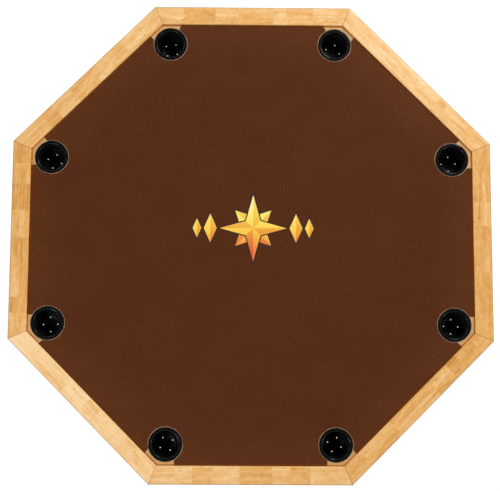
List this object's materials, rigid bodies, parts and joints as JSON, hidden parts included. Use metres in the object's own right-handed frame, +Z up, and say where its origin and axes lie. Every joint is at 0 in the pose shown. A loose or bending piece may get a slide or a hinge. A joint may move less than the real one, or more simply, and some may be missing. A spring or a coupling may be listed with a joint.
{
  "type": "octagonal game board",
  "caption": "Octagonal game board that stands on a table, with a cloth-covered deck in mitred wooden rails and a lift-out cup holder at each corner.",
  "frame": {"origin": "under the middle of the board, on the plane that its pads stand on", "axes": "+Z up, out of the playing surface; +X and +Y each point at the middle of a side; the battens run along X"},
  "size_m": [1.321, 1.321, 0.076],
  "materials": {
    "maple": "clear satin varnish over light honey-coloured maple",
    "birch_plywood": "bare sanded plywood",
    "pine": "bare planed softwood",
    "cloth": "brown short-pile playing cloth",
    "black_plastic": "glossy moulded black plastic",
    "rubber": "matt black rubber"
  },
  "bodies": {
    "board": {"rail_1": "maple", "rail_2": "maple", "rail_3": "maple", "rail_4": "maple", "rail_5": "maple", "rail_6": "maple", "rail_7": "maple", "rail_8": "maple", "apron_1": "maple", "apron_2": "maple", "apron_3": "maple", "apron_4": "maple", "apron_5": "maple", "apron_6": "maple", "apron_7": "maple", "apron_8": "maple", "cleat_1": "pine", "cleat_2": "pine", "cleat_3": "pine", "cleat_4": "pine", "cleat_5": "pine", "cleat_6": "pine", "cleat_7": "pine", "cleat_8": "pine", "corner_block_1": "pine", "corner_block_2": "pine", "corner_block_3": "pine", "corner_block_4": "pine", "corner_block_5": "pine", "corner_block_6": "pine", "corner_block_7": "pine", "corner_block_8": "pine", "batten_1": "pine", "batten_2": "pine", "batten_3": "pine", "deck_panel": "birch_plywood", "playing_cloth": "cloth", "foot_pad_1": "rubber", "foot_pad_2": "rubber", "foot_pad_3": "rubber", "foot_pad_4": "rubber", "foot_pad_5": "rubber", "foot_pad_6": "rubber", "foot_pad_7": "rubber", "foot_pad_8": "rubber"},
    "cup_1": {"cup_holder_1": "black_plastic"},
    "cup_2": {"cup_holder_2": "black_plastic"},
    "cup_3": {"cup_holder_3": "black_plastic"},
    "cup_4": {"cup_holder_4": "black_plastic"},
    "cup_5": {"cup_holder_5": "black_plastic"},
    "cup_6": {"cup_holder_6": "black_plastic"},
    "cup_7": {"cup_holder_7": "black_plastic"},
    "cup_8": {"cup_holder_8": "black_plastic"}
  },
  "joints": [
    {"name": "cup_lift_1", "type": "slide", "parent": "board", "child": "cup_1", "axis": [0, 0, 1], "range_m": [0, 0.08]},
    {"name": "cup_lift_2", "type": "slide", "parent": "board", "child": "cup_2", "axis": [0, 0, 1], "range_m": [0, 0.08]},
    {"name": "cup_lift_3", "type": "slide", "parent": "board", "child": "cup_3", "axis": [0, 0, 1], "range_m": [0, 0.08]},
    {"name": "cup_lift_4", "type": "slide", "parent": "board", "child": "cup_4", "axis": [0, 0, 1], "range_m": [0, 0.08]},
    {"name": "cup_lift_5", "type": "slide", "parent": "board", "child": "cup_5", "axis": [0, 0, 1], "range_m": [0, 0.08]},
    {"name": "cup_lift_6", "type": "slide", "parent": "board", "child": "cup_6", "axis": [0, 0, 1], "range_m": [0, 0.08]},
    {"name": "cup_lift_7", "type": "slide", "parent": "board", "child": "cup_7", "axis": [0, 0, 1], "range_m": [0, 0.08]},
    {"name": "cup_lift_8", "type": "slide", "parent": "board", "child": "cup_8", "axis": [0, 0, 1], "range_m": [0, 0.08]}
  ]
}
